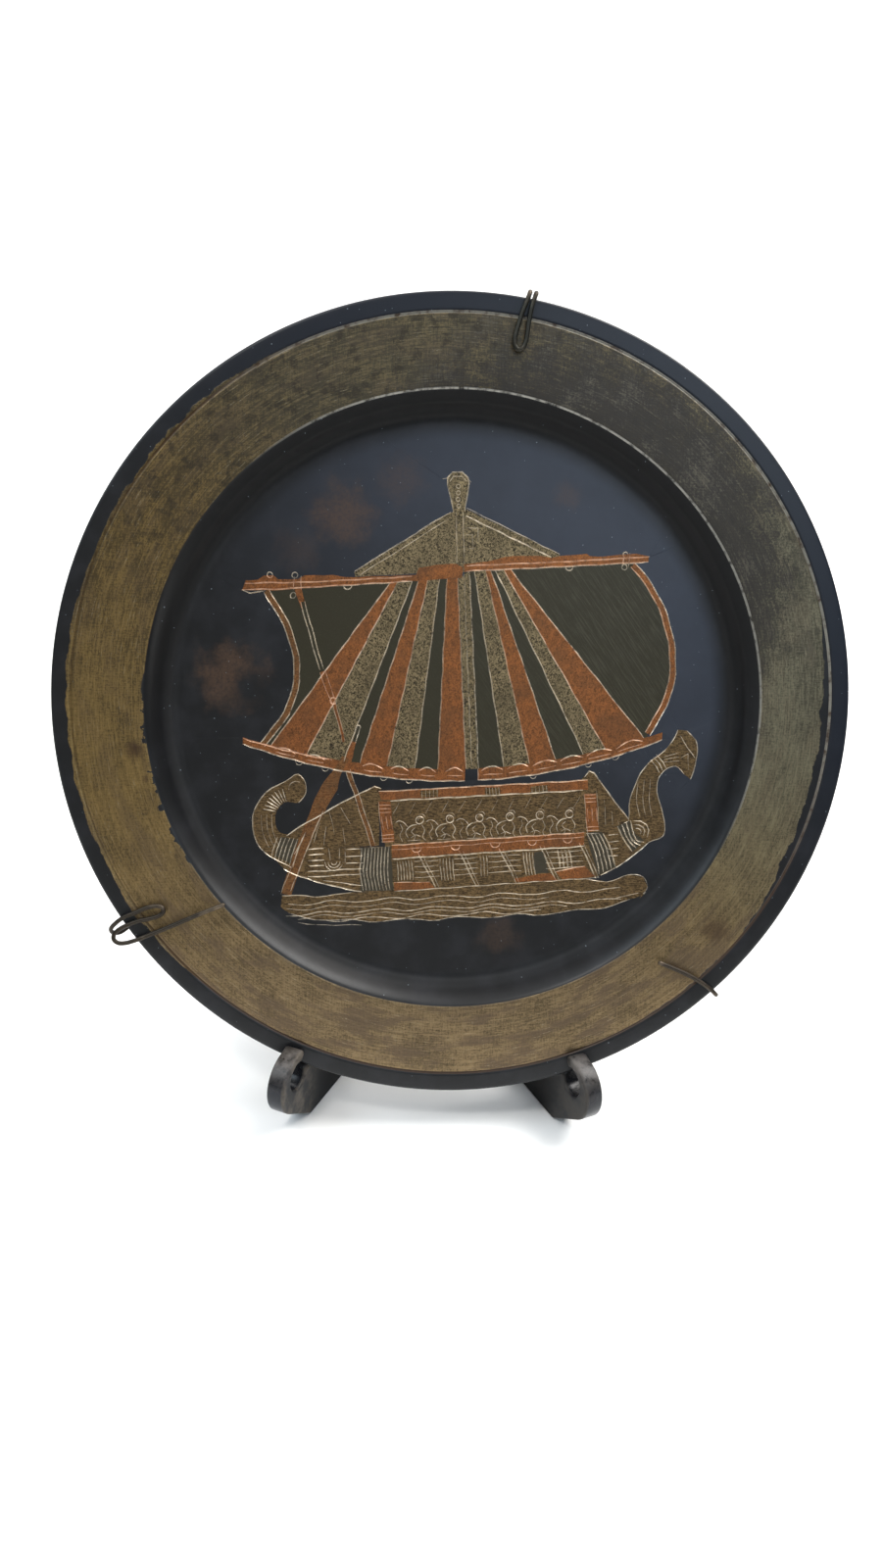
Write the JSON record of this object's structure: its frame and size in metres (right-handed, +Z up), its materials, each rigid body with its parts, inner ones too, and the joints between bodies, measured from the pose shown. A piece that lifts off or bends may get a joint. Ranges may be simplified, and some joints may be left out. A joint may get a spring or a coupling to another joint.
{
  "type": "decorative metal plate on a display stand",
  "caption": "Round turned metal plate with a sunk centre engraved with an ancient sailing ship, a bent-wire hanger, and a black display stand with hooked feet.",
  "frame": {"origin": "middle of the whole part's box, on the surface the stand's feet rest on", "axes": "+Z up; the plate's engraved front faces -Y and leans back 17 degrees towards +Y; +X is to the right as seen from the front"},
  "size_m": [0.17, 0.0756, 0.1736],
  "materials": {
    "plate_metal": "aged brass and copper, brushed band, black patina in the well and on the lip",
    "wire_metal": "drawn wire, dark bronze, slightly shiny",
    "stand_black": "satin black, scuffed on the hook fronts"
  },
  "bodies": {
    "root": {"plate": "plate_metal", "hanging_wire": "wire_metal", "stand_side_left": "stand_black", "stand_side_right": "stand_black"}
  },
  "joints": []
}
